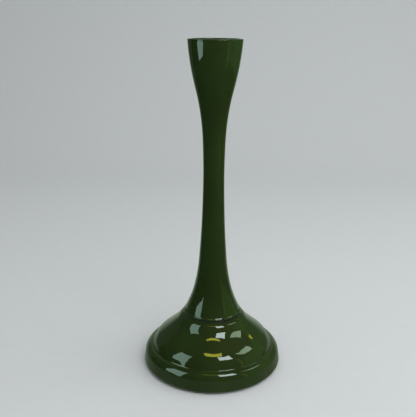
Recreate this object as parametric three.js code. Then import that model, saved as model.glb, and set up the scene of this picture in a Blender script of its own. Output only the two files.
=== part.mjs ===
// Glass candlestick: a hollow trumpet stem clamped to a hollow domed foot by one tie rod.
// Millimetres, +Z up. The origin is the middle of the circle that the foot stands on.
import * as THREE from "three";

// ---- Driving dimensions -------------------------------------------------------------------
const HEIGHT = 400; // foot to lip
const GAP = 0.3; // clearance between touching pieces
const FELT = 0.9; // felt ring thickness
const FOOT_Z = FELT + GAP; // underside of the glass foot

// Foot, outside, from the ground up: rounded edge, flared skirt, round shoulder, groove, dome.
const EDGE = { r: 82, z: 5.9, across: 4.4 }; // centre of the edge's rounding, and its half width
const SHOULDER = { r: 75, z: 15.2, radius: 9.9 };
const SHOULDER_ENDS = [9, 70]; // degrees up from straight outwards
const GROOVE = [75.4, 25.1]; // where the shoulder and the dome would meet without their fillet
const DOME = [
  [74, 28.4],
  [72.4, 31.5],
  [68.7, 36.3],
  [64.1, 40.6],
  [59.3, 44.7],
  [54.4, 48.8],
  [49.7, 53],
  [45.2, 57.5],
  [41.2, 62.3],
  [38.6, 65.4],
];
const NECK_R = 36.3; // outer edge of the flat land on the neck
const NECK_Z = 67.3; // height of that land, which the joint ring lies on
const FOOT_WALL = 4.8;
const NECK_THICK = 5.5;
const NECK_HOLE_R = 8;

// Seam between the shells.
const RING_THICK = 0.8;
const STEM_Z = NECK_Z + RING_THICK + 2 * GAP; // underside of the stem
const BEAD = { r: 34.3, radius: 1.4 }; // rolled bead round the stem's lower rim

// Stem, outside: radius and height from the bead up to the lip.
const STEM = [
  [34, 72.4],
  [32.3, 76.4],
  [28.8, 84.6],
  [24.8, 95.8],
  [21.2, 110],
  [18.2, 128.5],
  [16.1, 153],
  [14.4, 180],
  [13.3, 210],
  [12.7, 241],
  [13, 267],
  [13.8, 290],
  [15.7, 310],
  [19.1, 330.5],
  [24, 351],
  [27.9, 369.5],
  [30.4, 386],
];
const LIP_R = 31.8;
const LIP_ROUND = 1.2;
const STEM_WALL = 3.6;

// Candle socket and the drip pan that sits on it.
const CANDLE_R = 11.4; // bore for a 22 mm candle
const SOCKET_WALL = 1.2;
const SOCKET_R = CANDLE_R + SOCKET_WALL;
const SOCKET_TOP = 352;
const BORE_DEPTH = 26;
const FLANGE_R = 17.1;
const FLANGE_Z = 340.8;
const FLANGE_THICK = 1.7;
const BOSS_R = 7;
const BOSS_Z = 312;
const BOSS_DEPTH = 10; // depth of the threaded hole in the boss
const PAN_LIP_R = 20.2; // middle of the pan's rolled lip

// M6 hardware.
const ROD_R = 3;
const HOLE_R = ROD_R + GAP;
const ROD_BOTTOM = 47;
const NUT_ACROSS = 10;
const NUT_THICK = 5;
const SPLIT = THREE.MathUtils.degToRad(8); // half the opening in the spring washer

const ROUND = 48; // facets round the shells
const FINE = 32; // facets round the small turned pieces

// ---- Materials ----------------------------------------------------------------------------
function material(color, roughness, metalness) {
  return new THREE.MeshStandardMaterial({ color, roughness, metalness });
}
const greenGlass = () => material(0x1e2911, 0.08, 0);
const brass = () => material(0xb08d3e, 0.28, 1);
const steel = () => material(0x9a9c9e, 0.35, 1);
const blackRubber = () => material(0x161616, 0.8, 0);
const aluminium = () => material(0xb4b6b8, 0.4, 1);
const greenFelt = () => material(0x24301c, 0.95, 0);

// ---- Shape helpers ------------------------------------------------------------------------
function named(name, geometry, finish) {
  const mesh = new THREE.Mesh(geometry, finish);
  mesh.name = name;
  return mesh;
}

// A turned solid from a closed [radius, height] outline, whose outside is listed bottom to top.
function turned(name, outline, facets, finish) {
  const points = [...outline, outline[0]].map(([r, z]) => new THREE.Vector2(r, z));
  const geometry = new THREE.LatheGeometry(points, facets);
  geometry.rotateX(Math.PI / 2);
  return named(name, geometry, finish);
}

// Points on an ellipse about [r, z], between two angles in degrees up from straight outwards.
function arc(r, z, across, up, from, to, steps) {
  const points = [];
  for (let i = 0; i <= steps; i++) {
    const a = THREE.MathUtils.degToRad(from + ((to - from) * i) / steps);
    points.push([r + across * Math.cos(a), z + up * Math.sin(a)]);
  }
  return points;
}

// A fillet from a to b that rounds off the corner.
function fillet(a, corner, b, steps) {
  const [p, q, s] = [a, corner, b].map(([r, z]) => new THREE.Vector2(r, z));
  return new THREE.QuadraticBezierCurve(p, q, s).getPoints(steps).map((v) => [v.x, v.y]);
}

// A smooth line through [radius, height] points.
function smooth(points, steps) {
  const knots = points.map(([r, z]) => new THREE.Vector3(r, z, 0));
  const line = new THREE.CatmullRomCurve3(knots, false, "centripetal");
  return line.getSpacedPoints(steps).map((p) => [p.x, p.y]);
}

// A line moved to the inside of the glass by the wall's thickness, and turned end for end.
function inside(line, wall) {
  const moved = line.map(([r, z], i) => {
    const [r0, z0] = line[Math.max(i - 1, 0)];
    const [r1, z1] = line[Math.min(i + 1, line.length - 1)];
    const length = Math.hypot(r1 - r0, z1 - z0);
    return [r - (wall * (z1 - z0)) / length, z + (wall * (r1 - r0)) / length];
  });
  return moved.reverse();
}

const everySecond = (line) => line.filter((_, i) => i % 2 === 0);

// A flat ring, such as a washer or a gasket.
function ring(name, inner, outer, z, thick, finish) {
  const outline = [
    [inner, z],
    [outer, z],
    [outer, z + thick],
    [inner, z + thick],
  ];
  return turned(name, outline, outer > NECK_R / 2 ? ROUND : FINE, finish);
}

function extruded(name, shape, z, thick, finish) {
  const options = { depth: thick, bevelEnabled: false, curveSegments: 12 };
  const geometry = new THREE.ExtrudeGeometry(shape, options);
  geometry.translate(0, 0, z);
  return named(name, geometry, finish);
}

// A hexagon nut round the rod.
function hexNut(name, z) {
  const corner = NUT_ACROSS / Math.sqrt(3);
  const corners = [];
  for (let i = 0; i < 6; i++) {
    const a = (i * Math.PI) / 3;
    corners.push(new THREE.Vector2(corner * Math.cos(a), corner * Math.sin(a)));
  }
  const shape = new THREE.Shape(corners);
  const hole = new THREE.Path();
  hole.absarc(0, 0, HOLE_R, 0, 2 * Math.PI, true);
  shape.holes.push(hole);
  return extruded(name, shape, z, NUT_THICK, steel());
}

// A washer cut through at one place.
function splitWasher(name, outer, z, thick) {
  const shape = new THREE.Shape();
  shape.absarc(0, 0, outer, SPLIT, 2 * Math.PI - SPLIT, false);
  shape.absarc(0, 0, HOLE_R, 2 * Math.PI - SPLIT, SPLIT, true);
  shape.closePath();
  return extruded(name, shape, z, thick, steel());
}

// ---- Glass shells -------------------------------------------------------------------------
function stemShell() {
  const wall = smooth([...STEM, [LIP_R, HEIGHT]], 26);
  const top = HEIGHT - LIP_ROUND;
  const hollow = inside(wall, STEM_WALL).filter(([, z]) => z < top - LIP_ROUND);
  const bead = BEAD.radius;
  const outline = [
    [BEAD.r - STEM_WALL + 0.6, STEM_Z],
    ...arc(BEAD.r, STEM_Z + bead, bead, bead, -90, 60, 6),
    ...wall.filter(([, z]) => z < top),
    ...arc(LIP_R - LIP_ROUND, top, LIP_ROUND, LIP_ROUND, 0, 90, 3),
    ...arc(LIP_R - STEM_WALL + LIP_ROUND, top, LIP_ROUND, LIP_ROUND, 90, 180, 3),
    ...everySecond(hollow),
  ];
  return turned("stem_shell", outline, ROUND, greenGlass());
}

function footShell() {
  const { r, z, radius } = SHOULDER;
  const edge = arc(EDGE.r, EDGE.z, EDGE.across, EDGE.z - FOOT_Z, -90, 15, 7);
  const shoulder = arc(r, z, radius, radius, ...SHOULDER_ENDS, 6);
  const groove = fillet(shoulder.at(-1), GROOVE, DOME[0], 4);
  const dome = smooth([...DOME, [NECK_R, NECK_Z]], 13);
  const wall = [edge.at(-1), ...shoulder, ...groove.slice(1, -1), ...dome];
  const hollow = inside(wall, FOOT_WALL).filter(([x]) => x > NECK_R);
  const outline = [
    [EDGE.r - FOOT_WALL, FOOT_Z],
    ...edge.slice(0, -1),
    ...wall,
    [NECK_HOLE_R, NECK_Z],
    [NECK_HOLE_R, NECK_Z - NECK_THICK],
    [NECK_R - 3, NECK_Z - NECK_THICK],
    ...everySecond(hollow),
  ];
  return turned("foot_shell", outline, ROUND, greenGlass());
}

// ---- Clamp through the middle -------------------------------------------------------------
function centringPlug() {
  const base = NECK_Z + GAP;
  const spigot = base - NECK_THICK + 1;
  const outline = [
    [HOLE_R, spigot],
    [NECK_HOLE_R - GAP, spigot],
    [NECK_HOLE_R - GAP, base],
    [30.4, base],
    [30.4, base + 1.5],
    [27.6, base + 8],
    [HOLE_R, base + 8],
  ];
  return turned("centring_plug", outline, FINE, aluminium());
}

function tieRod() {
  const top = BOSS_Z + BOSS_DEPTH - 2 * GAP;
  const geometry = new THREE.CylinderGeometry(ROD_R, ROD_R, top - ROD_BOTTOM, 16);
  geometry.rotateX(Math.PI / 2);
  geometry.translate(0, 0, (top + ROD_BOTTOM) / 2);
  return named("tie_rod", geometry, steel());
}

function candleSocket() {
  const floor = SOCKET_TOP - BORE_DEPTH;
  const outline = [
    [0, BOSS_Z + BOSS_DEPTH],
    [HOLE_R, BOSS_Z + BOSS_DEPTH],
    [HOLE_R, BOSS_Z],
    [BOSS_R, BOSS_Z],
    [BOSS_R, BOSS_Z + BOSS_DEPTH - 2],
    [SOCKET_R, floor - 2],
    [SOCKET_R, FLANGE_Z],
    [FLANGE_R, FLANGE_Z],
    [FLANGE_R, FLANGE_Z + FLANGE_THICK],
    [SOCKET_R, FLANGE_Z + FLANGE_THICK],
    [SOCKET_R, SOCKET_TOP],
    [CANDLE_R, SOCKET_TOP],
    [CANDLE_R, floor],
    [0, floor],
  ];
  return turned("candle_socket", outline, FINE, brass());
}

// The gasket's outside is a cone that follows the glass.
function socketGasket() {
  const top = FLANGE_Z - GAP;
  const inner = SOCKET_R + GAP;
  const outline = [
    [inner, top - 3.2],
    [FLANGE_R - 0.9, top - 3.2],
    [FLANGE_R - 0.1, top],
    [inner, top],
  ];
  return turned("socket_gasket", outline, FINE, blackRubber());
}

// What the nut pulls against under the foot's neck, from the glass down.
function clampStack() {
  const gasketZ = NECK_Z - NECK_THICK - GAP - 1.5;
  const washerZ = gasketZ - GAP - 1.7;
  const springZ = washerZ - GAP - 1.5;
  return [
    ring("foot_gasket", NECK_HOLE_R + 0.5, 24, gasketZ, 1.5, blackRubber()),
    ring("clamp_washer", HOLE_R, 22, washerZ, 1.7, steel()),
    splitWasher("spring_washer", 5.6, springZ, 1.5),
    hexNut("hex_nut", springZ - GAP - NUT_THICK),
  ];
}

// ---- Loose drip pan -----------------------------------------------------------------------
// A dish with a rolled lip, and a skirt that drops round the outside of the socket.
function dripPan() {
  const seat = SOCKET_TOP + GAP;
  const hole = CANDLE_R + 0.4;
  const skirt = SOCKET_R + 0.4;
  const outline = [
    [hole, seat],
    [skirt, seat],
    [skirt, seat - 5],
    [skirt + 0.8, seat - 5],
    [skirt + 0.8, seat - 0.4],
    [17.5, seat - 0.4],
    [19.1, seat + 0.6],
    ...arc(PAN_LIP_R, seat + 4.2, 0.6, 0.6, -20, 200, 5),
    [18.1, seat + 1.2],
    [16.9, seat + 0.7],
    [14.4, seat + 0.9],
    [12.8, seat + 2],
    [hole, seat + 1.6],
  ];
  return turned("drip_pan", outline, ROUND, brass());
}

// ---- Assembly -----------------------------------------------------------------------------
const candlestick = new THREE.Group();
candlestick.add(stemShell());
candlestick.add(footShell());
candlestick.add(ring("joint_ring", 31.3, 34.8, NECK_Z + GAP, RING_THICK, blackRubber()));
candlestick.add(centringPlug());
candlestick.add(tieRod());
candlestick.add(candleSocket());
candlestick.add(socketGasket());
candlestick.add(hexNut("jam_nut", BOSS_Z - GAP - NUT_THICK));
candlestick.add(...clampStack());
candlestick.add(ring("felt_ring", EDGE.r - 4.6, EDGE.r - 0.4, 0, FELT, greenFelt()));
candlestick.add(dripPan());

export default candlestick;
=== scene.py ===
import math

import bmesh
import bpy
from mathutils import Matrix, Vector, noise


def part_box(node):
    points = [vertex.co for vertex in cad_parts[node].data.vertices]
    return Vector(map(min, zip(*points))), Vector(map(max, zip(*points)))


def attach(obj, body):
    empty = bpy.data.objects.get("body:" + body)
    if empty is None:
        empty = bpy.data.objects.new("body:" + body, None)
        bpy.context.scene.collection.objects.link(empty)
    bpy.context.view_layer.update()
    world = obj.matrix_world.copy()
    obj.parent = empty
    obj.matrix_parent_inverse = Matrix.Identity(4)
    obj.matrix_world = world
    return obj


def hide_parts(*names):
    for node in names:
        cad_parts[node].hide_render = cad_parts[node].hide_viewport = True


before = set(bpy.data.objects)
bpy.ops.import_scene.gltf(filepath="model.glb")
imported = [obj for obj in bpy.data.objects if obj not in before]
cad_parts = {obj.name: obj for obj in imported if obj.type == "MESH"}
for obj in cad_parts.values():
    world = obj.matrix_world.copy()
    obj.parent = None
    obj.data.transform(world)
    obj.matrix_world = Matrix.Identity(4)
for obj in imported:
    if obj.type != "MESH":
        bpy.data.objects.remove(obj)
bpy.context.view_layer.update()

# A dark green glass candlestick: a trumpet stem on a domed foot, clamped by a hidden tie rod.
# Outlines are [radius, height] pairs in millimetres, as in the part. MM brings them to metres.

# ---- Driving dimensions -------------------------------------------------------------------
MM = 0.001
GAP = 0.3  # between pieces that touch
ROUND = 160  # facets round the glass
FINE = 96  # facets round the small turned pieces

EDGE = {"r": 82, "z": 5.9, "across": 4.4}
SHOULDER = {"r": 75, "z": 15.2, "radius": 9.9}
SHOULDER_ENDS = (9, 70)  # degrees up from straight out
SHOULDER_REACH = 2.5
GROOVE = (75.4, 25.1)
DOME = [
    (74, 28.4),
    (72.4, 31.5),
    (68.7, 36.3),
    (64.1, 40.6),
    (59.3, 44.7),
    (54.4, 48.8),
    (49.7, 53),
    (45.2, 57.5),
    (42.1, 61.5),
    (39.5, 64.7),
]
NECK_R = 36.3
NECK_HOLE_R = 8
NECK_THICK = 5.5
NECK_ROUND = 0.6  # on the edges of the neck and of its hole
FOOT_WALL = 4.8

BEAD = {"r": 34.3, "radius": 1.4}
SEAM_PROUD = 0.7  # how far the rubber in the seam is squeezed out
SEAM_SWELL = 0.24  # how far it swells up and down
SEAM_INNER_R = 31.3
STEM = [
    (34, 72.4),
    (32.3, 76.4),
    (28.8, 84.6),
    (24.8, 95.8),
    (21.2, 110),
    (18.2, 128.5),
    (16.1, 153),
    (14.4, 180),
    (13.3, 210),
    (12.7, 241),
    (13, 267),
    (13.8, 290),
    (15.7, 310),
    (19.1, 330.5),
    (24, 351),
    (27.9, 369.5),
    (30.4, 386),
]
LIP_R = 31.8
LIP_ROUND = 1.2
STEM_WALL = 3.6

CANDLE_R = 11.4
SOCKET_R = 12.6
BOSS_R = 7
BOSS_HOLE_DEPTH = 10
CUP_FLOOR_THICK = 2
BORE_DEPTH = 26
FLANGE_Z = 340.8
FLANGE_R = 17.1
FLANGE_THICK = 1.7
PAN_LIP_R = 20.2
PAN_WALL = 0.8
PAN_SKIRT = 5  # how far the skirt drops round the socket
PAN_PLAY = 0.4  # round the candle and round the socket

HOLE_R = 3.3
PITCH = 1.0  # of the M6 thread
THREAD_DEPTH = 0.55
SPLIT = 8  # degrees, half the opening in the spring washer
SPRING_LIFT = 0.35  # of one end of the washer over the other
HEX_CHAMFER = 30  # degrees
FELT_WIDTH = 4.6


# ---- Frame helpers ------------------------------------------------------------------------
def heights(node):
    """Lowest and highest height of a CAD node, in millimetres."""
    lo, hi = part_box(node)
    return lo.z / MM, hi.z / MM


def outer_radius(node):
    """Radius of a round CAD node, in millimetres."""
    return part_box(node)[1].x / MM


# ---- Outline helpers ----------------------------------------------------------------------
def arc(r, z, across, up, start, end, steps):
    """Points on an ellipse about (r, z), between two angles in degrees up from straight out."""
    points = []
    for i in range(steps + 1):
        a = math.radians(start + (end - start) * i / steps)
        points.append((r + across * math.cos(a), z + up * math.sin(a)))
    return points


def fillet(a, corner, b, steps):
    """A curve from a to b that rounds off the corner."""
    a, corner, b = Vector(a), Vector(corner), Vector(b)
    points = []
    for i in range(steps + 1):
        t = i / steps
        points.append(tuple(a.lerp(corner, t).lerp(corner.lerp(b, t), t)))
    return points


def flattened(r, z, radius, start, end, reach, steps):
    """A curve that leaves a circle about (r, z) at one angle in degrees and meets it again at
    another, flatter than the circle between them. reach is the length of its handles."""
    a, b = math.radians(start), math.radians(end)
    first = Vector((r + radius * math.cos(a), z + radius * math.sin(a)))
    last = Vector((r + radius * math.cos(b), z + radius * math.sin(b)))
    leave = first + reach * Vector((-math.sin(a), math.cos(a)))
    arrive = last - reach * Vector((-math.sin(b), math.cos(b)))
    points = []
    for i in range(steps + 1):
        t = i / steps
        low, middle, high = first.lerp(leave, t), leave.lerp(arrive, t), arrive.lerp(last, t)
        points.append(tuple(low.lerp(middle, t).lerp(middle.lerp(high, t), t)))
    return points


def smooth(points, steps):
    """A centripetal Catmull-Rom line through the points, with steps points for each stretch."""
    knots = [Vector(p) for p in points]
    knots = [2 * knots[0] - knots[1], *knots, 2 * knots[-1] - knots[-2]]
    line = []
    for p0, p1, p2, p3 in zip(knots, knots[1:], knots[2:], knots[3:]):
        t1 = (p1 - p0).length ** 0.5
        t2 = t1 + (p2 - p1).length ** 0.5
        t3 = t2 + (p3 - p2).length ** 0.5
        for i in range(steps):
            t = t1 + (t2 - t1) * i / steps
            a1 = p0.lerp(p1, t / t1)
            a2 = p1.lerp(p2, (t - t1) / (t2 - t1))
            a3 = p2.lerp(p3, (t - t2) / (t3 - t2))
            b1 = a1.lerp(a2, t / t2)
            b2 = a2.lerp(a3, (t - t1) / (t3 - t1))
            line.append(tuple(b1.lerp(b2, (t - t1) / (t2 - t1))))
    return [*line, tuple(points[-1])]


def inside(line, wall):
    """A line moved to the inside of the glass by the wall's thickness, turned end for end."""
    moved = []
    for i, (r, z) in enumerate(line):
        r0, z0 = line[max(i - 1, 0)]
        r1, z1 = line[min(i + 1, len(line) - 1)]
        length = math.hypot(r1 - r0, z1 - z0)
        moved.append((r - wall * (z1 - z0) / length, z + wall * (r1 - r0) / length))
    return moved[::-1]


def softened(outline, radius, steps=4):
    """A closed outline with every corner off the axis rounded."""
    points = []
    for i, here in enumerate(outline):
        here = Vector(here)
        before, after = Vector(outline[i - 1]), Vector(outline[(i + 1) % len(outline)])
        if here.x < 1e-6:
            points.append(tuple(here))
            continue
        back = min(radius, 0.45 * (before - here).length)
        ahead = min(radius, 0.45 * (after - here).length)
        start = here + (before - here).normalized() * back
        end = here + (after - here).normalized() * ahead
        points += fillet(start, here, end, steps)
    return points


# ---- Mesh helpers -------------------------------------------------------------------------
def loft(name, loops, material, closed, sharp=40):
    """A solid skin over closed loops of points in millimetres, joined in turn. It goes round
    to the first loop again if closed, and is capped at both ends otherwise. Edges that turn by
    more than sharp, in degrees, stay crisp."""
    count = len(loops[0])
    verts = [Vector(p) * MM for loop in loops for p in loop]
    faces = []
    for i in range(len(loops) if closed else len(loops) - 1):
        j = (i + 1) % len(loops)
        for k in range(count):
            m = (k + 1) % count
            faces.append((i * count + k, j * count + k, j * count + m, i * count + m))
    if not closed:
        faces.append(tuple(range(count)))
        faces.append(tuple(range(len(verts) - 1, len(verts) - count - 1, -1)))
    mesh = bpy.data.meshes.new(name)
    mesh.from_pydata(verts, [], faces)
    weld(mesh)
    mesh.shade_smooth()
    mesh.set_sharp_from_angle(angle=math.radians(sharp))
    mesh.materials.append(material)
    piece = bpy.data.objects.new(name, mesh)
    bpy.context.scene.collection.objects.link(piece)
    return piece


def weld(mesh):
    """Joins points that lie on the axis, drops the flat faces there, and turns faces out."""
    bm = bmesh.new()
    bm.from_mesh(mesh)
    bmesh.ops.remove_doubles(bm, verts=bm.verts, dist=1e-7)
    bmesh.ops.dissolve_degenerate(bm, edges=bm.edges, dist=1e-7)
    bmesh.ops.recalc_face_normals(bm, faces=bm.faces)
    bm.to_mesh(mesh)
    bm.free()


def turned(name, outline, facets, material, shape=None):
    """A solid of revolution. shape(r, z, angle) may move each point to a new (r, z)."""
    loops = []
    for i in range(facets):
        a = 2 * math.pi * i / facets
        loop = [shape(r, z, a) if shape else (r, z) for r, z in outline]
        loops.append([(r * math.cos(a), r * math.sin(a), z) for r, z in loop])
    return loft(name, loops, material, closed=True)


def stand_in(piece, node, body="candlestick"):
    """The piece is shown instead of the CAD node, and rides on its body."""
    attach(piece, body)
    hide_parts(node)
    return piece


# ---- Shader helpers -----------------------------------------------------------------------
def add(tree, kind, inputs=None, **settings):
    """A shader node with its settings, and its inputs set to a value or joined to a socket."""
    made = tree.nodes.new("ShaderNode" + kind)
    for name, value in settings.items():
        setattr(made, name, value)
    for name, value in (inputs or {}).items():
        if isinstance(value, bpy.types.NodeSocket):
            tree.links.new(value, made.inputs[name])
        else:
            made.inputs[name].default_value = value
    return made


def finish(name, **constants):
    """A new material, its node tree and its Principled shader with constants on its sockets."""
    made = bpy.data.materials.new(name)
    made.use_nodes = True
    tree = made.node_tree
    shader = tree.nodes["Principled BSDF"]
    for socket, value in constants.items():
        shader.inputs[socket.replace("_", " ")].default_value = value
    return made, tree, shader


def place(tree, scale=(1, 1, 1)):
    """Object coordinates in metres, multiplied by scale."""
    where = add(tree, "TexCoord")
    return add(tree, "Mapping", {"Vector": where.outputs["Object"], "Scale": scale}).outputs[0]


def cloud(tree, vector, scale, detail=3.0, rough=0.5):
    """A noise value about 0 to 1."""
    inputs = {"Vector": vector, "Scale": scale, "Detail": detail, "Roughness": rough}
    return add(tree, "TexNoise", inputs).outputs["Fac"]


def rings(tree, scale):
    """Fine turning marks: a random line value that changes only with distance from the axis
    and with height."""
    flat = add(tree, "VectorMath", {0: place(tree, (1, 1, 0))}, operation="LENGTH")
    height = add(tree, "SeparateXYZ", {"Vector": place(tree)})
    total = add(tree, "Math", {0: flat.outputs["Value"], 1: height.outputs["Z"]})
    marks = {"W": total.outputs[0], "Scale": scale, "Detail": 4.0}
    return add(tree, "TexNoise", marks, noise_dimensions="1D").outputs["Fac"]


def between(tree, value, low, high, start=0.0, end=1.0):
    """value, from start to end, brought to low to high and kept there."""
    inputs = {"Value": value, "From Min": start, "From Max": end, "To Min": low, "To Max": high}
    return add(tree, "MapRange", inputs).outputs["Result"]


def blend(tree, factor, a, b, how="MIX"):
    """Two colours mixed."""
    mix = add(tree, "Mix", data_type="RGBA", blend_type=how)
    for socket, value in ((mix.inputs[0], factor), (mix.inputs[6], a), (mix.inputs[7], b)):
        if isinstance(value, bpy.types.NodeSocket):
            tree.links.new(value, socket)
        else:
            socket.default_value = value
    return mix.outputs[2]


def sum_of(tree, *values):
    """Values added together."""
    total = values[0]
    for value in values[1:]:
        total = add(tree, "Math", {0: total, 1: value}).outputs[0]
    return total


def times(tree, value, factor):
    """Two values multiplied."""
    return add(tree, "Math", {0: value, 1: factor}, operation="MULTIPLY").outputs[0]


def bumped(tree, shader, height, distance):
    """The shader's surface raised by height, over a distance in metres."""
    inputs = {"Height": height, "Distance": distance}
    tree.links.new(add(tree, "Bump", inputs).outputs["Normal"], shader.inputs["Normal"])


# ---- Materials ----------------------------------------------------------------------------
def green_glass():
    """Dense green glass: soft clouds and drawn cords of colour, a slight wave in the surface,
    faint smudges, and fine scuffs on the rim that it stands on."""
    made, tree, shader = finish("green_glass", IOR=1.43)
    deep, leaf = (0.017, 0.029, 0.0073, 1), (0.0195, 0.038, 0.0098, 1)
    olive, seed = (0.026, 0.033, 0.009, 1), (0.05, 0.075, 0.028, 1)
    clouds = cloud(tree, place(tree, (1, 1, 0.5)), 26)
    patches = cloud(tree, place(tree, (1, 1, 0.35)), 11, detail=1.0)
    cords = cloud(tree, place(tree, (90, 90, 1.6)), 1.0, detail=2.0)
    colour = blend(tree, between(tree, clouds, 0, 1, 0.35, 0.65), deep, leaf)
    colour = blend(tree, between(tree, patches, 0, 0.6, 0.5, 0.7), colour, olive)
    colour = blend(tree, between(tree, cords, 0, 0.35, 0.58, 0.72), colour, olive)
    specks = add(tree, "TexVoronoi", {"Vector": place(tree), "Scale": 160.0})
    dots = between(tree, specks.outputs["Distance"], 0.5, 0, 0.03, 0.07)
    tree.links.new(blend(tree, dots, colour, seed), shader.inputs["Base Color"])

    smudges = between(tree, cloud(tree, place(tree), 38, detail=5.0), 0.012, 0.05, 0.4, 0.8)
    height = add(tree, "SeparateXYZ", {"Vector": place(tree)}).outputs["Z"]
    low = between(tree, height, 1, 0, 0.0012, 0.0045)
    scratches = cloud(tree, place(tree, (300, 300, 2400)), 1.0, detail=3.0)
    scuffs = times(tree, times(tree, low, 0.35), between(tree, scratches, 0, 1, 0.45, 0.7))
    tree.links.new(sum_of(tree, smudges, scuffs), shader.inputs["Roughness"])

    waves = cloud(tree, place(tree, (1, 1, 0.6)), 40, detail=1.0)
    bumped(tree, shader, waves, 0.00022)
    return made


def spun_brass():
    """Spun brass with circular tool marks and patches of brown tarnish."""
    made, tree, shader = finish("spun_brass", Metallic=1.0)
    bright, tarnish = (0.62, 0.42, 0.15, 1), (0.20, 0.12, 0.045, 1)
    patches = cloud(tree, place(tree), 120, detail=5.0)
    tone = blend(tree, between(tree, patches, 0, 0.8, 0.5, 0.75), bright, tarnish)
    marks = rings(tree, 1500)
    colour = blend(tree, times(tree, marks, 0.35), tone, (0.9, 0.72, 0.38, 1))
    tree.links.new(colour, shader.inputs["Base Color"])
    worn = between(tree, patches, 0.2, 0.48, 0.4, 0.75)
    tree.links.new(sum_of(tree, worn, times(tree, marks, 0.08)), shader.inputs["Roughness"])
    bumped(tree, shader, marks, 0.00005)
    return made


def zinc_steel():
    """Bright zinc plate: a pale blue-grey metal with clouded passivation and small pits."""
    made, tree, shader = finish("zinc_steel", Metallic=1.0)
    grey, straw = (0.42, 0.44, 0.46, 1), (0.50, 0.46, 0.34, 1)
    clouds = cloud(tree, place(tree), 260, detail=4.0)
    tone = blend(tree, between(tree, clouds, 0, 0.7, 0.45, 0.7), grey, straw)
    tree.links.new(tone, shader.inputs["Base Color"])
    grain = cloud(tree, place(tree), 1800, detail=3.0)
    tree.links.new(between(tree, grain, 0.28, 0.5, 0.3, 0.7), shader.inputs["Roughness"])
    bumped(tree, shader, grain, 0.00004)
    return made


def turned_aluminium():
    """Turned aluminium with fine lathe lines."""
    made, tree, shader = finish("turned_aluminium", Metallic=1.0)
    marks = rings(tree, 2600)
    tone = blend(tree, marks, (0.48, 0.49, 0.50, 1), (0.68, 0.69, 0.70, 1))
    tree.links.new(tone, shader.inputs["Base Color"])
    tree.links.new(between(tree, marks, 0.3, 0.46), shader.inputs["Roughness"])
    bumped(tree, shader, marks, 0.00006)
    return made


def black_rubber():
    """Matt black rubber with a fine moulded grain and a grey bloom."""
    made, tree, shader = finish("black_rubber", IOR=1.45)
    bloom = cloud(tree, place(tree), 210, detail=4.0)
    tone = blend(tree, between(tree, bloom, 0, 1, 0.4, 0.8), (0.009, 0.012, 0.007, 1),
                 (0.034, 0.042, 0.029, 1))
    tree.links.new(tone, shader.inputs["Base Color"])
    tree.links.new(between(tree, bloom, 0.55, 0.85), shader.inputs["Roughness"])
    bumped(tree, shader, cloud(tree, place(tree), 2400, detail=2.0), 0.00006)
    return made


def green_felt():
    """Pressed wool felt: matted fibres, mottled green, with a soft sheen."""
    made, tree, shader = finish(
        "green_felt", Roughness=0.95, Sheen_Weight=0.35, Sheen_Roughness=0.5
    )
    shader.inputs["Sheen Tint"].default_value = (0.55, 0.65, 0.5, 1)
    fibres = cloud(tree, place(tree, (1, 1, 2.5)), 1500, detail=6.0, rough=0.7)
    mottle = cloud(tree, place(tree), 190, detail=3.0)
    tone = blend(tree, fibres, (0.010, 0.019, 0.008, 1), (0.045, 0.070, 0.032, 1))
    tone = blend(tree, times(tree, mottle, 0.4), tone, (0.03, 0.035, 0.018, 1))
    tree.links.new(tone, shader.inputs["Base Color"])
    bumped(tree, shader, fibres, 0.0003)
    return made


GLASS = green_glass()
BRASS = spun_brass()
STEEL = zinc_steel()
ALUMINIUM = turned_aluminium()
RUBBER = black_rubber()
FELT = green_felt()


# ---- Glass shells -------------------------------------------------------------------------
def blown(r, z, angle):
    """The slight unroundness of worked glass: a few hundredths of a millimetre."""
    drift = noise.noise(Vector((math.cos(angle), math.sin(angle), z * 0.02)) * 1.4)
    return r - 0.04 * (1 + drift), z


def stem_glass():
    """The trumpet stem: a bead at the foot of it, a slow waist, and a rounded lip."""
    low, high = heights("stem_shell")
    wall = smooth([*STEM, (LIP_R, high)], 8)
    top = high - LIP_ROUND
    hollow = [p for p in inside(wall, STEM_WALL) if p[1] < top - LIP_ROUND]
    bead = BEAD["radius"]
    inner = BEAD["r"] - STEM_WALL
    outline = [
        *fillet((inner, low + 1), (inner, low), (inner + 1, low), 4),
        *arc(BEAD["r"], low + bead, bead, bead, -90, 60, 14),
        *[p for p in wall if p[1] < top],
        *arc(LIP_R - LIP_ROUND, top, LIP_ROUND, LIP_ROUND, 0, 90, 8),
        *arc(LIP_R - STEM_WALL + LIP_ROUND, top, LIP_ROUND, LIP_ROUND, 90, 180, 8),
        *hollow,
    ]
    return stand_in(turned("stem_glass", outline, ROUND, GLASS, blown), "stem_shell")


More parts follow.
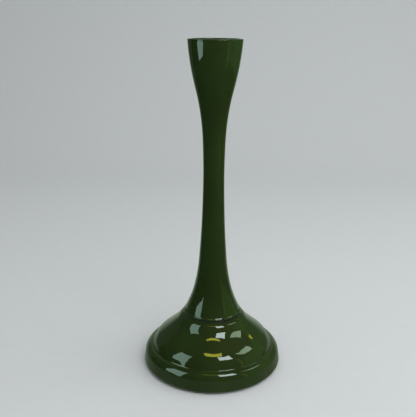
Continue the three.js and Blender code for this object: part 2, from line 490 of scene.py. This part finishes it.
def foot_glass():
    """The domed foot: an edge to stand on, a shoulder, a crease, and a dome up to the neck."""
    low, high = heights("foot_shell")
    r, z, radius = SHOULDER["r"], SHOULDER["z"], SHOULDER["radius"]
    edge = arc(EDGE["r"], EDGE["z"], EDGE["across"], EDGE["z"] - low, -90, 15, 20)
    shoulder = flattened(r, z, radius, *SHOULDER_ENDS, SHOULDER_REACH, 24)
    skirt = [tuple(Vector(edge[-1]).lerp(Vector(shoulder[0]), i / 6)) for i in range(1, 6)]
    crease = Vector(GROOVE)
    outside, up_dome = crease.lerp(Vector(shoulder[-1]), 0.5), crease.lerp(Vector(DOME[0]), 0.5)
    groove = fillet(outside, crease, up_dome, 10)
    dome = smooth([*DOME, (NECK_R, high)], 6)
    wall = [edge[-1], *skirt, *shoulder, *groove, *dome[:-1]]
    neck = fillet(dome[-2], (NECK_R, high), (NECK_R - NECK_ROUND, high), 3)
    hollow = [p for p in inside(wall, FOOT_WALL) if p[0] > NECK_R]
    under = high - NECK_THICK
    hole, past_hole = NECK_HOLE_R, NECK_HOLE_R + NECK_ROUND
    outline = [
        (EDGE["r"] - FOOT_WALL, low),
        *edge[:-1],
        *wall[:-1],
        *neck,
        *fillet((past_hole, high), (hole, high), (hole, high - NECK_ROUND), 3),
        *fillet((hole, under + NECK_ROUND), (hole, under), (past_hole, under), 3),
        (NECK_R - 3, under),
        *hollow,
    ]
    return stand_in(turned("foot_glass", outline, ROUND, GLASS, blown), "foot_shell")


# ---- Rings, gaskets and washers -----------------------------------------------------------
def flat_ring(name, node, material, inner, edge_radius, proud=0, swell=0):
    """A ring with rounded edges in the space of a CAD node. A soft one may stand proud of it
    outwards, and swell up and down into the gaps beside it."""
    low, high = heights(node)
    low, high = low - swell, high + swell
    outer = outer_radius(node) + proud
    outline = softened([(inner, low), (outer, low), (outer, high), (inner, high)], edge_radius)
    return stand_in(turned(name, outline, FINE, material), node)


def socket_gasket():
    """A soft ring with a tapered outside, between the socket's flange and the glass cone."""
    low, high = heights("socket_gasket")
    outer = outer_radius("socket_gasket")
    inner = SOCKET_R + GAP
    outline = [(inner, low), (outer - 0.8, low), (outer, high), (inner, high)]
    piece = turned("bore_gasket", softened(outline, 0.5), FINE, RUBBER)
    return stand_in(piece, "socket_gasket")


def felt_ring():
    """Cut felt, with a fuzzy surface that stays inside the CAD ring."""
    low, high = heights("felt_ring")
    outer = outer_radius("felt_ring")
    inner = EDGE["r"] - FELT_WIDTH
    steps = 7
    across = [inner + (outer - inner) * i / steps for i in range(steps + 1)]
    middle = (low + high) / 2
    under = [(r, low) for r in across]
    over = [(r, high) for r in reversed(across)]
    outline = softened([*under, (outer, middle), *over, (inner, middle)], 0.2, 2)

    def matted(r, z, angle):
        spot = Vector((r * math.cos(angle), r * math.sin(angle), z))
        lumps = 0.5 + 0.5 * noise.noise(spot * 0.9)
        return r + 0.12 * noise.noise(spot * 1.7), z + (middle - z) * 0.3 * lumps

    piece = turned("foot_felt", outline, 320, FELT, matted)
    return stand_in(piece, "felt_ring")


def spring_washer():
    """A split washer whose ends are sprung a little apart in height."""
    low, high = heights("spring_washer")
    outer = outer_radius("spring_washer")
    top = high - SPRING_LIFT
    section = softened([(HOLE_R, low), (outer, low), (outer, top), (HOLE_R, top)], 0.2)
    loops = []
    for i in range(FINE + 1):
        share = i / FINE
        a = math.radians(SPLIT + (360 - 2 * SPLIT) * share)
        loops.append([(r * math.cos(a), r * math.sin(a), z + SPRING_LIFT * share) for r, z in section])
    piece = loft("split_washer", loops, STEEL, closed=False)
    return stand_in(piece, "spring_washer")


# ---- Nuts and rod -------------------------------------------------------------------------
def hexagon_nut(name, node):
    """A hexagon nut with both faces chamfered to a circle, and a countersunk hole."""
    low, high = heights(node)
    corner = outer_radius(node)
    flat = corner * math.cos(math.pi / 6)
    face = flat * 0.95
    slope = math.tan(math.radians(HEX_CHAMFER))
    facets = 144
    loops = []
    for i in range(facets):
        a = 2 * math.pi * i / facets
        side = flat / math.cos((a % (math.pi / 3)) - math.pi / 6)
        drop = (side - face) * slope
        outline = [
            (HOLE_R, low + 0.5),
            (HOLE_R + 0.5, low),
            (face, low),
            (side, low + drop),
            (side, high - drop),
            (face, high),
            (HOLE_R + 0.5, high),
            (HOLE_R, high - 0.5),
        ]
        loops.append([(r * math.cos(a), r * math.sin(a), z) for r, z in outline])
    piece = loft(name, loops, STEEL, closed=True, sharp=20)
    return stand_in(piece, node)


def threaded_rod():
    """The tie rod, with a cut thread on the end that shows below the nut."""
    low, high = heights("tie_rod")
    radius = outer_radius("tie_rod")
    thread_top = heights("foot_shell")[1] - NECK_THICK
    rows = [low + i * PITCH / 6 for i in range(int((thread_top - low) * 6 / PITCH) + 1)]
    rows += [rows[-1] + (high - 0.6 - rows[-1]) * i / 8 for i in range(1, 9)]
    rows.append(high)
    loops = []
    for z in rows:
        fade = min(1, max(0, (thread_top - z) / 2))
        taper = 0.5 * max(0, 1 - (z - low) / 0.8) + 0.5 * max(0, 1 - (high - z) / 0.6)
        loop = []
        for i in range(36):
            a = 2 * math.pi * i / 36
            phase = (z / PITCH - i / 36) % 1
            cut = THREAD_DEPTH * abs(2 * phase - 1) * fade
            r = radius - max(cut, taper)
            loop.append((r * math.cos(-a), r * math.sin(-a), z))
        loops.append(loop)
    piece = loft("threaded_rod", loops, STEEL, closed=False, sharp=60)
    return stand_in(piece, "tie_rod")


# ---- Plug, socket and pan -----------------------------------------------------------------
def centring_plug():
    """A disc that sits on the foot's neck, with a spigot down into the neck's hole."""
    low, high = heights("centring_plug")
    base = heights("foot_shell")[1] + GAP
    outer = outer_radius("centring_plug")
    outline = [
        (HOLE_R, low),
        (NECK_HOLE_R - GAP, low),
        (NECK_HOLE_R - GAP, base),
        (outer, base),
        (outer, base + 1.5),
        (outer - 2.8, high),
        (HOLE_R, high),
    ]
    piece = turned("neck_plug", softened(outline, 0.35), FINE, ALUMINIUM)
    return stand_in(piece, "centring_plug")


def candle_socket():
    """A cup for the candle, with a flange round it and a bored boss under it for the rod."""
    low, high = heights("candle_socket")
    floor = high - BORE_DEPTH
    hole = low + BOSS_HOLE_DEPTH
    outline = [
        (0, hole),
        (HOLE_R, hole),
        (HOLE_R, low),
        (BOSS_R, low),
        (BOSS_R, hole - CUP_FLOOR_THICK),
        (SOCKET_R, floor - CUP_FLOOR_THICK),
        (SOCKET_R, FLANGE_Z),
        (FLANGE_R, FLANGE_Z),
        (FLANGE_R, FLANGE_Z + FLANGE_THICK),
        (SOCKET_R, FLANGE_Z + FLANGE_THICK),
        (SOCKET_R, high),
        (CANDLE_R, high),
        (CANDLE_R, floor),
        (0, floor),
    ]
    piece = turned("candle_cup", softened(outline, 0.3), FINE, BRASS)
    return stand_in(piece, "candle_socket")


def drip_pan():
    """A dish with a rolled lip, and a skirt that drops round the outside of the socket."""
    seat = heights("candle_socket")[1] + GAP
    hole = CANDLE_R + PAN_PLAY
    skirt = SOCKET_R + PAN_PLAY
    body = [
        (hole, seat),
        (skirt, seat),
        (skirt, seat - PAN_SKIRT),
        (skirt + PAN_WALL, seat - PAN_SKIRT),
        (skirt + PAN_WALL, seat - 0.4),
        (17.5, seat - 0.4),
        (19.1, seat + 0.6),
    ]
    lip = arc(PAN_LIP_R, seat + 4.2, 0.6, 0.6, -20, 200, 16)
    dish = [
        (18.1, seat + 1.2),
        (16.9, seat + 0.7),
        (14.4, seat + 0.9),
        (12.8, seat + 2),
        (hole, seat + 1.6),
    ]
    outline = softened([*body, lip[0]], 0.3)[:-5] + lip + softened([lip[-1], *dish], 0.5)[5:]
    return stand_in(turned("rolled_pan", outline, ROUND, BRASS), "drip_pan", "drip_pan")


stem_glass()
foot_glass()
flat_ring("seam_ring", "joint_ring", RUBBER, SEAM_INNER_R, 0.25, SEAM_PROUD, SEAM_SWELL)
centring_plug()
threaded_rod()
candle_socket()
socket_gasket()
hexagon_nut("upper_nut", "jam_nut")
flat_ring("neck_gasket", "foot_gasket", RUBBER, NECK_HOLE_R + 0.5, 0.5)
flat_ring("wide_washer", "clamp_washer", STEEL, HOLE_R, 0.3)
spring_washer()
hexagon_nut("lower_nut", "hex_nut")
felt_ring()
drip_pan()


# ---- Stage --------------------------------------------------------------------------------
def sweep(name, material, half_width, front, bend, radius, top):
    """A sheet that lies flat under the object and curves up behind it, in metres: flat from
    front to bend along Y, then round by radius and straight up to top."""
    line = [(front, 0), (-0.1, 0), (0.1, 0), (bend, 0)]
    for i in range(1, 25):
        a = math.radians(90 * i / 24)
        line.append((bend + radius * math.sin(a), radius - radius * math.cos(a)))
    line.append((bend + radius, top))
    verts = [(x, y, z) for y, z in line for x in (-half_width, half_width)]
    faces = [(2 * i, 2 * i + 1, 2 * i + 3, 2 * i + 2) for i in range(len(line) - 1)]
    mesh = bpy.data.meshes.new(name)
    mesh.from_pydata(verts, [], faces)
    mesh.shade_smooth()
    mesh.materials.append(material)
    sheet = bpy.data.objects.new(name, mesh)
    bpy.context.scene.collection.objects.link(sheet)
    return sheet


def paper():
    """The pale paper that the object stands on, lit by the lights. The glass doesn't mirror it."""
    made, tree, shader = finish("paper_white", Roughness=0.9)
    fibres = cloud(tree, place(tree), 60, detail=4.0)
    tone = blend(tree, fibres, (0.62, 0.64, 0.645, 1), (0.65, 0.67, 0.675, 1))
    tree.links.new(tone, shader.inputs["Base Color"])
    shader.inputs["Specular IOR Level"].default_value = 0.1
    sweep("paper", made, 1.6, -1.2, 0.95, 0.8, 2.2).visible_glossy = False


def glow(name, colour, strength):
    """A material that only gives light."""
    made = bpy.data.materials.new(name)
    made.use_nodes = True
    tree = made.node_tree
    tree.nodes.clear()
    light = add(tree, "Emission", {"Color": (*colour, 1), "Strength": strength})
    out = add(tree, "OutputMaterial")
    tree.links.new(light.outputs[0], out.inputs["Surface"])
    return made


def only_in_reflections(obj):
    """The object gives no light and casts no shadow, but the glass mirrors it."""
    obj.visible_camera = False
    obj.visible_diffuse = False
    obj.visible_shadow = False


def mirrored_paper():
    """The paper as the glass mirrors it: a little green, brightest in the middle behind the
    object, and dimmer in front and to the sides."""
    made = glow("mirrored_paper", (0.83, 1, 0.77), 0.3)
    tree = made.node_tree
    spot = add(tree, "SeparateXYZ", {"Vector": place(tree)}).outputs
    behind = between(tree, spot["Y"], 0.26, 0.58, 0, 0.25)
    aside = add(tree, "Math", {0: spot["X"]}, operation="ABSOLUTE").outputs[0]
    strength = times(tree, behind, between(tree, aside, 1, 0.35, 0.22, 0.44))
    tree.links.new(strength, tree.nodes["Emission"].inputs["Strength"])
    only_in_reflections(sweep("mirrored_paper", made, 0.44, -0.4, 0.3, 0.3, 0.9))


def room():
    """Pale where the camera looks past the paper, a soft fill for matt surfaces, and a dark
    room for reflections."""
    world = bpy.data.worlds.new("room")
    world.use_nodes = True
    bpy.context.scene.world = world
    tree = world.node_tree
    ray = add(tree, "LightPath")
    fill, dark, pale = (0.455, 0.465, 0.473, 1), (0.004, 0.005, 0.004, 1), (0.50, 0.53, 0.54, 1)
    colour = blend(tree, ray.outputs["Is Glossy Ray"], fill, dark)
    colour = blend(tree, ray.outputs["Is Camera Ray"], colour, pale)
    tree.links.new(colour, tree.nodes["Background"].inputs["Color"])


def direction(azimuth, elevation, distance):
    """A point seen from the origin. Azimuth 0 is towards the camera, and 90 to its right."""
    az, el = math.radians(azimuth), math.radians(elevation)
    return Vector((math.sin(az) * math.cos(el), -math.cos(az) * math.cos(el), math.sin(el))) * distance


def card(name, distance, corners, colour, strength):
    """A bright panel on a sphere about the origin that shows only in reflections. Its corners
    are (azimuth, elevation) pairs."""
    cells = 12
    a, b, c, d = [Vector(corner) for corner in corners]
    verts = []
    for i in range(cells + 1):
        for j in range(cells + 1):
            toward = a.lerp(b, j / cells).lerp(d.lerp(c, j / cells), i / cells)
            verts.append(direction(*toward, distance))
    faces = []
    for i in range(cells):
        for j in range(cells):
            k = i * (cells + 1) + j
            faces.append((k, k + 1, k + cells + 2, k + cells + 1))
    mesh = bpy.data.meshes.new(name)
    mesh.from_pydata(verts, [], faces)
    mesh.materials.append(glow(name, colour, strength))
    panel = bpy.data.objects.new(name, mesh)
    bpy.context.scene.collection.objects.link(panel)
    only_in_reflections(panel)


def cards():
    """What the glass mirrors: windows and lamps in front, and the dim room beside the paper."""
    white, yellow, green, grey = (0.85, 1, 1), (1, 0.96, 0.1), (0.72, 1, 0.68), (0.65, 1, 0.85)
    card("card_white", 0.97, [(16, 62), (50, 58), (49, 44.5), (17, 49)], white, 14)
    card("card_yellow", 0.76, [(-21, 64), (32, 63.5), (30, 61.7), (-25, 62.4)], yellow, 8.5)
    card("card_green", 0.88, [(66, 54), (95, 44), (101, 36), (77, 43)], green, 6.2)
    card("card_grey", 1.53, [(-79, 48), (-50, 53), (-50, 9), (-79, 27)], grey, 4.5)
    card("card_low_grey", 0.67, [(-79, 29), (-47, 30), (-55, 17), (-75, 16)], grey, 4.5)
    card("card_lamp", 0.84, [(113.1, 33.5), (114.8, 33.8), (118.2, 30.6), (116.3, 30.3)], yellow, 5)
    card("card_strip", 0.9, [(54.5, 40), (57, 40), (57, 1), (54.5, 1)], (0.9, 1, 0.2), 1.0)
    card("card_side", 1.1, [(58, 34), (117, 34), (117, 1), (58, 1)], (0.38, 1, 0.28), 0.26)
    card("room_right", 1.2, [(114, 42), (152, 42), (152, -14), (122, -14)], (0.58, 1, 0.43), 0.13)
    card("room_left", 1.2, [(-152, 42), (-114, 42), (-116, -14), (-152, -14)], (0.75, 1, 0.75), 0.11)


def soft_light(name, azimuth, elevation, distance, size, watts, colour):
    """A square area light that faces the middle of the object and isn't seen in reflections."""
    lamp = bpy.data.lights.new(name, "AREA")
    lamp.shape = "SQUARE"
    lamp.size = size
    lamp.energy = watts
    lamp.color = colour
    light = bpy.data.objects.new(name, lamp)
    light.location = direction(azimuth, elevation, distance)
    aim = Vector((0, 0, 0.15)) - light.location
    light.rotation_euler = aim.to_track_quat("-Z", "Y").to_euler()
    light.visible_camera = False
    light.visible_glossy = False
    bpy.context.scene.collection.objects.link(light)


def lights():
    """Soft studio light, strongest from the right."""
    soft_light("light_front", 30, 50, 1.5, 0.8, 5.6, (1, 1, 0.99))
    soft_light("light_right", 88, 30, 2.0, 1.8, 13.8, (0.99, 1, 0.97))
    soft_light("light_top", 20, 70, 1.8, 1.4, 4.8, (0.97, 0.99, 1))
    soft_light("light_back", 180, 62, 1.5, 1.4, 2.2, (0.99, 1, 1))


def camera():
    """The camera's place, lens and slight tilt."""
    lens = bpy.data.cameras.new("camera")
    lens.lens = 53.0
    lens.sensor_width = 36
    lens.clip_start, lens.clip_end = 0.01, 20
    eye = bpy.data.objects.new("camera", lens)
    turn = Matrix.Rotation(math.radians(0.529), 4, "Z")
    pitch = Matrix.Rotation(math.radians(90 - 16.892), 4, "X")
    roll = Matrix.Rotation(math.radians(0.514), 4, "Z")
    eye.matrix_world = Matrix.Translation((0, -0.7092, 0.4174)) @ turn @ pitch @ roll
    bpy.context.scene.collection.objects.link(eye)
    bpy.context.scene.camera = eye
    bpy.context.scene.view_settings.view_transform = "Standard"


paper()
mirrored_paper()
room()
cards()
lights()
camera()
